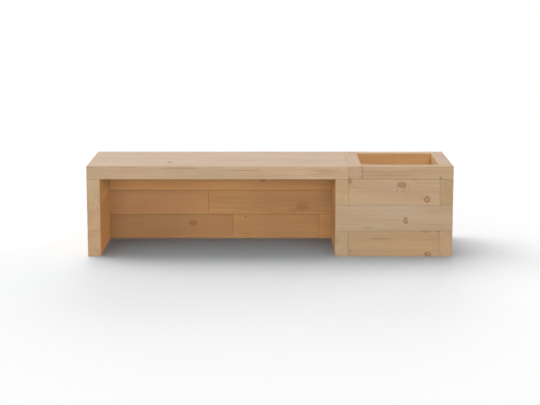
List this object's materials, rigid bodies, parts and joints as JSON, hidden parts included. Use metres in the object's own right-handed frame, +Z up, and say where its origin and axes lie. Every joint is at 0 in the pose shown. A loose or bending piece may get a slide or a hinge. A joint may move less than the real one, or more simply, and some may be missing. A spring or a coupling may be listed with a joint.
{
  "type": "bench with planter",
  "caption": "Low timber bench of stacked solid beams with an end wall and back wall, open at the front, ending in a planter box level with the seat.",
  "frame": {"origin": "on the ground, at the centre of the bench's rectangular footprint", "axes": "+X along the bench from its open seat end to the planter, +Y from the open front to the back wall, +Z up"},
  "size_m": [1.96, 0.56, 0.49],
  "materials": {
    "planed_softwood": "planed softwood with eased edges, clear and unpainted",
    "floor_timber": "planed softwood, damp-darkened",
    "dowel_hardwood": "turned beech, smooth",
    "galvanised_strap": "galvanised flat steel, dull",
    "zinc_screw": "zinc plated, satin"
  },
  "bodies": {
    "root": {"back_floor_bearer": "floor_timber", "bearer_screws": "zinc_screw", "bottom_back_board_centre": "planed_softwood", "bottom_back_board_left": "planed_softwood", "bottom_back_board_right": "planed_softwood", "bottom_end_board": "planed_softwood", "bottom_planter_front_board": "planed_softwood", "bottom_planter_left_board": "planed_softwood", "bottom_planter_right_board": "planed_softwood", "bottom_to_middle_dowels": "dowel_hardwood", "floor_slat_1": "floor_timber", "floor_slat_2": "floor_timber", "floor_slat_3": "floor_timber", "floor_slat_4": "floor_timber", "floor_slat_5": "floor_timber", "floor_slat_6": "floor_timber", "front_floor_bearer": "floor_timber", "middle_back_board_centre": "planed_softwood", "middle_back_board_left": "planed_softwood", "middle_back_board_right": "planed_softwood", "middle_end_board": "planed_softwood", "middle_planter_front_board": "planed_softwood", "middle_planter_left_board": "planed_softwood", "middle_planter_right_board": "planed_softwood", "middle_to_upper_dowels": "dowel_hardwood", "planter_back_rail": "planed_softwood", "planter_front_rail": "planed_softwood", "planter_left_rail": "planed_softwood", "planter_right_rail": "planed_softwood", "seat_back_rail": "planed_softwood", "seat_front_rail": "planed_softwood", "seat_plank_1": "planed_softwood", "seat_plank_2": "planed_softwood", "seat_plank_3": "planed_softwood", "seat_strap_1": "galvanised_strap", "seat_strap_2": "galvanised_strap", "slat_screws": "zinc_screw", "strap_screws": "zinc_screw", "upper_back_board_left": "planed_softwood", "upper_back_board_right": "planed_softwood", "upper_end_board": "planed_softwood", "upper_planter_front_board": "planed_softwood", "upper_planter_left_board": "planed_softwood", "upper_planter_right_board": "planed_softwood", "upper_to_top_dowels": "dowel_hardwood"}
  },
  "joints": []
}
